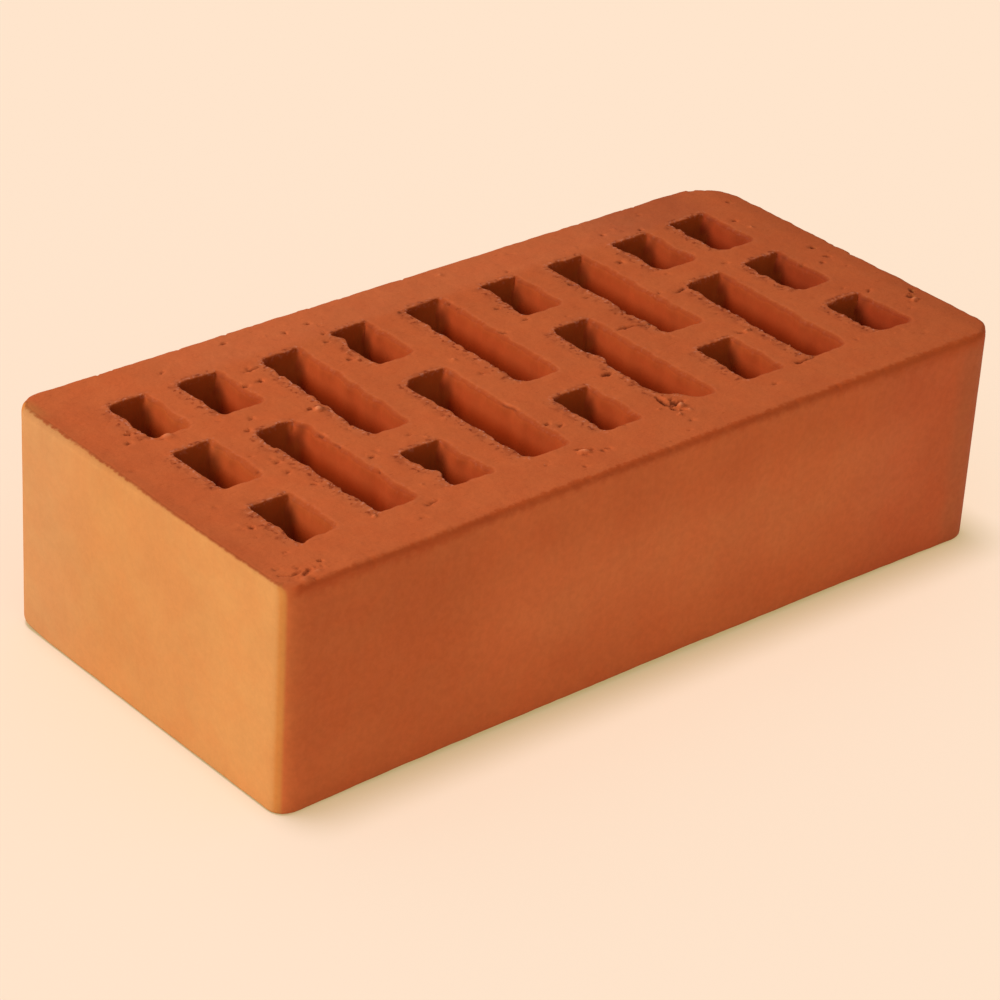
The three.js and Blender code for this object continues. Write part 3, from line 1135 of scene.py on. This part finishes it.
BACKDROP = Color((1.0, 229 / 255, 204 / 255)).from_srgb_to_scene_linear()
FLOOR_HALF_SIZE = 2.5
FLOOR_BOUNCE = (0.82, 0.77, 0.70)
FLOOR_LIT_SHARE = (0.62, 0.62, 0.82)
SKY_LEVEL = 0.46
SKY_TINT = (1.0, 0.98, 0.95)


def seen_directly(n):
    """1 for the rays that show the backdrop itself, and 0 for those that carry its light."""
    path = n.add("LightPath")
    either = n.math("MAXIMUM", path.outputs["Is Camera Ray"], path.outputs["Is Glossy Ray"])
    return n.math("MAXIMUM", either, path.outputs["Is Transmission Ray"])


def mix_shaders(n, share, first, second):
    """The first shader with a share of the second one in it."""
    return n.add("MixShader", {0: share, 1: first.outputs[0], 2: second.outputs[0]})


def stage_floor():
    """A pale floor. Where it is seen, part of its colour is lit, and shaded by the brick."""
    half = FLOOR_HALF_SIZE
    mesh = bpy.data.meshes.new("floor")
    corners = [(-half, -half, 0), (half, -half, 0), (half, half, 0), (-half, half, 0)]
    mesh.from_pydata(corners, [], [(0, 1, 2, 3)])
    floor = add_object("floor", mesh)
    material = bpy.data.materials.new("floor")
    material.use_nodes = True
    n = Nodes(material.node_tree)
    lit_colour = [channel * share for channel, share in zip(BACKDROP, FLOOR_LIT_SHARE)]
    lit_level = [1 - SKY_LEVEL * (1 - tint) for tint in SKY_TINT]
    shares = zip(BACKDROP, lit_colour, lit_level)
    plain_colour = [channel - lit * level for channel, lit, level in shares]
    lit = n.add("BsdfDiffuse", {"Color": lit_colour})
    plain = n.add("Emission", {"Color": plain_colour})
    shown = n.add("AddShader", {0: lit.outputs[0], 1: plain.outputs[0]})
    bounce = n.add("BsdfDiffuse", {"Color": FLOOR_BOUNCE})
    mixed = mix_shaders(n, seen_directly(n), bounce, shown)
    n.add("OutputMaterial", {"Surface": mixed.outputs[0]})
    mesh.materials.append(material)
    return floor


def set_world(level):
    """A soft, even sky, which is seen in the backdrop's colour."""
    world = bpy.data.worlds.new("studio")
    bpy.context.scene.world = world
    world.use_nodes = True
    n = Nodes(world.node_tree)
    soft = n.add("Background", {"Color": SKY_TINT, "Strength": level})
    backdrop = n.add("Background", {"Color": BACKDROP, "Strength": 1.0})
    mixed = mix_shaders(n, seen_directly(n), soft, backdrop)
    n.add("OutputWorld", {"Surface": mixed.outputs[0]})


def direction(azimuth, elevation):
    """Unit vector towards a place. Azimuth 0 is in front, and -90 at the left."""
    a, e = math.radians(azimuth), math.radians(elevation)
    return Vector((math.sin(a) * math.cos(e), -math.cos(a) * math.cos(e), math.sin(e)))


def add_lamp(name, kind, lit_object, towards):
    """A lamp that shines from a direction onto one object only."""
    lamp = add_object(name, bpy.data.lights.new(name, kind))
    lamp.rotation_euler = towards.to_track_quat("Z", "Y").to_euler()
    lit = bpy.data.collections.new(name + "_lights")
    lit.objects.link(lit_object)
    lamp.light_linking.receiver_collection = lit
    return lamp


def softbox(name, lit_object, towards, distance, size, level):
    """A round lamp. `level` is the share of full brightness that it gives a face square to it."""
    lamp = add_lamp(name, "AREA", lit_object, towards)
    lamp.data.shape = "DISK"
    lamp.data.size = size
    lamp.data.energy = level * math.pi**2 * distance**2
    lamp.location = Vector((0, 0, HEIGHT / 2 * MM)) + towards * distance


def distant_lamp(name, lit_object, towards, softness, level):
    """A lamp far away and `softness` degrees across. It gives the floor this level."""
    lamp = add_lamp(name, "SUN", lit_object, towards)
    lamp.data.angle = math.radians(softness)
    lamp.data.energy = level * math.pi / towards.z


def light_scene(brick, floor):
    """A key from the left, a low fill from the front, a lamp for the floor, and a sky."""
    softbox("key", brick, direction(-115, 32.5), distance=1.3, size=0.65, level=0.867)
    softbox("front_fill", brick, direction(-25, 6), distance=1.5, size=0.6, level=0.20)
    distant_lamp("floor_light", floor, direction(-155, 82.4), softness=15.0, level=1 - SKY_LEVEL)
    set_world(SKY_LEVEL)


# Degrees, metres and, for the lens, millimetres. The camera stands a little to the left of the
# brick's middle and lower, so that the brick lies in the frame as in the photograph.
CAMERA_AZIMUTH = -41.828
CAMERA_ELEVATION = 29.273
CAMERA_ROLL = 3.487
CAMERA_DISTANCE = 0.99234
CAMERA_LENS = 130.04
CAMERA_LEFT_BY = 0.00424
CAMERA_LOWER_BY = 0.00811


def place_camera():
    """The camera at the photograph's viewing angle, with its slight roll."""
    data = bpy.data.cameras.new("camera")
    data.sensor_width = 36.0
    data.lens = CAMERA_LENS
    data.clip_start = 0.01
    camera = add_object("camera", data)
    bpy.context.scene.camera = camera
    back = direction(CAMERA_AZIMUTH, CAMERA_ELEVATION)
    level_right = Vector((0, 0, 1)).cross(back).normalized()
    level_up = back.cross(level_right)
    cos, sin = math.cos(math.radians(CAMERA_ROLL)), math.sin(math.radians(CAMERA_ROLL))
    right = level_right * cos + level_up * sin
    up = level_up * cos - level_right * sin
    centre = Vector((0, 0, HEIGHT / 2 * MM))
    spot = centre + back * CAMERA_DISTANCE - right * CAMERA_LEFT_BY - up * CAMERA_LOWER_BY
    camera.matrix_world = Matrix.Translation(spot) @ Matrix((right, up, back)).transposed().to_4x4()


place_camera()
brick = make_brick()
brick.data.materials.append(clay_material())
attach(brick, "root")
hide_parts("brick")
light_scene(brick, stage_floor())
bpy.context.scene.view_settings.view_transform = "Standard"
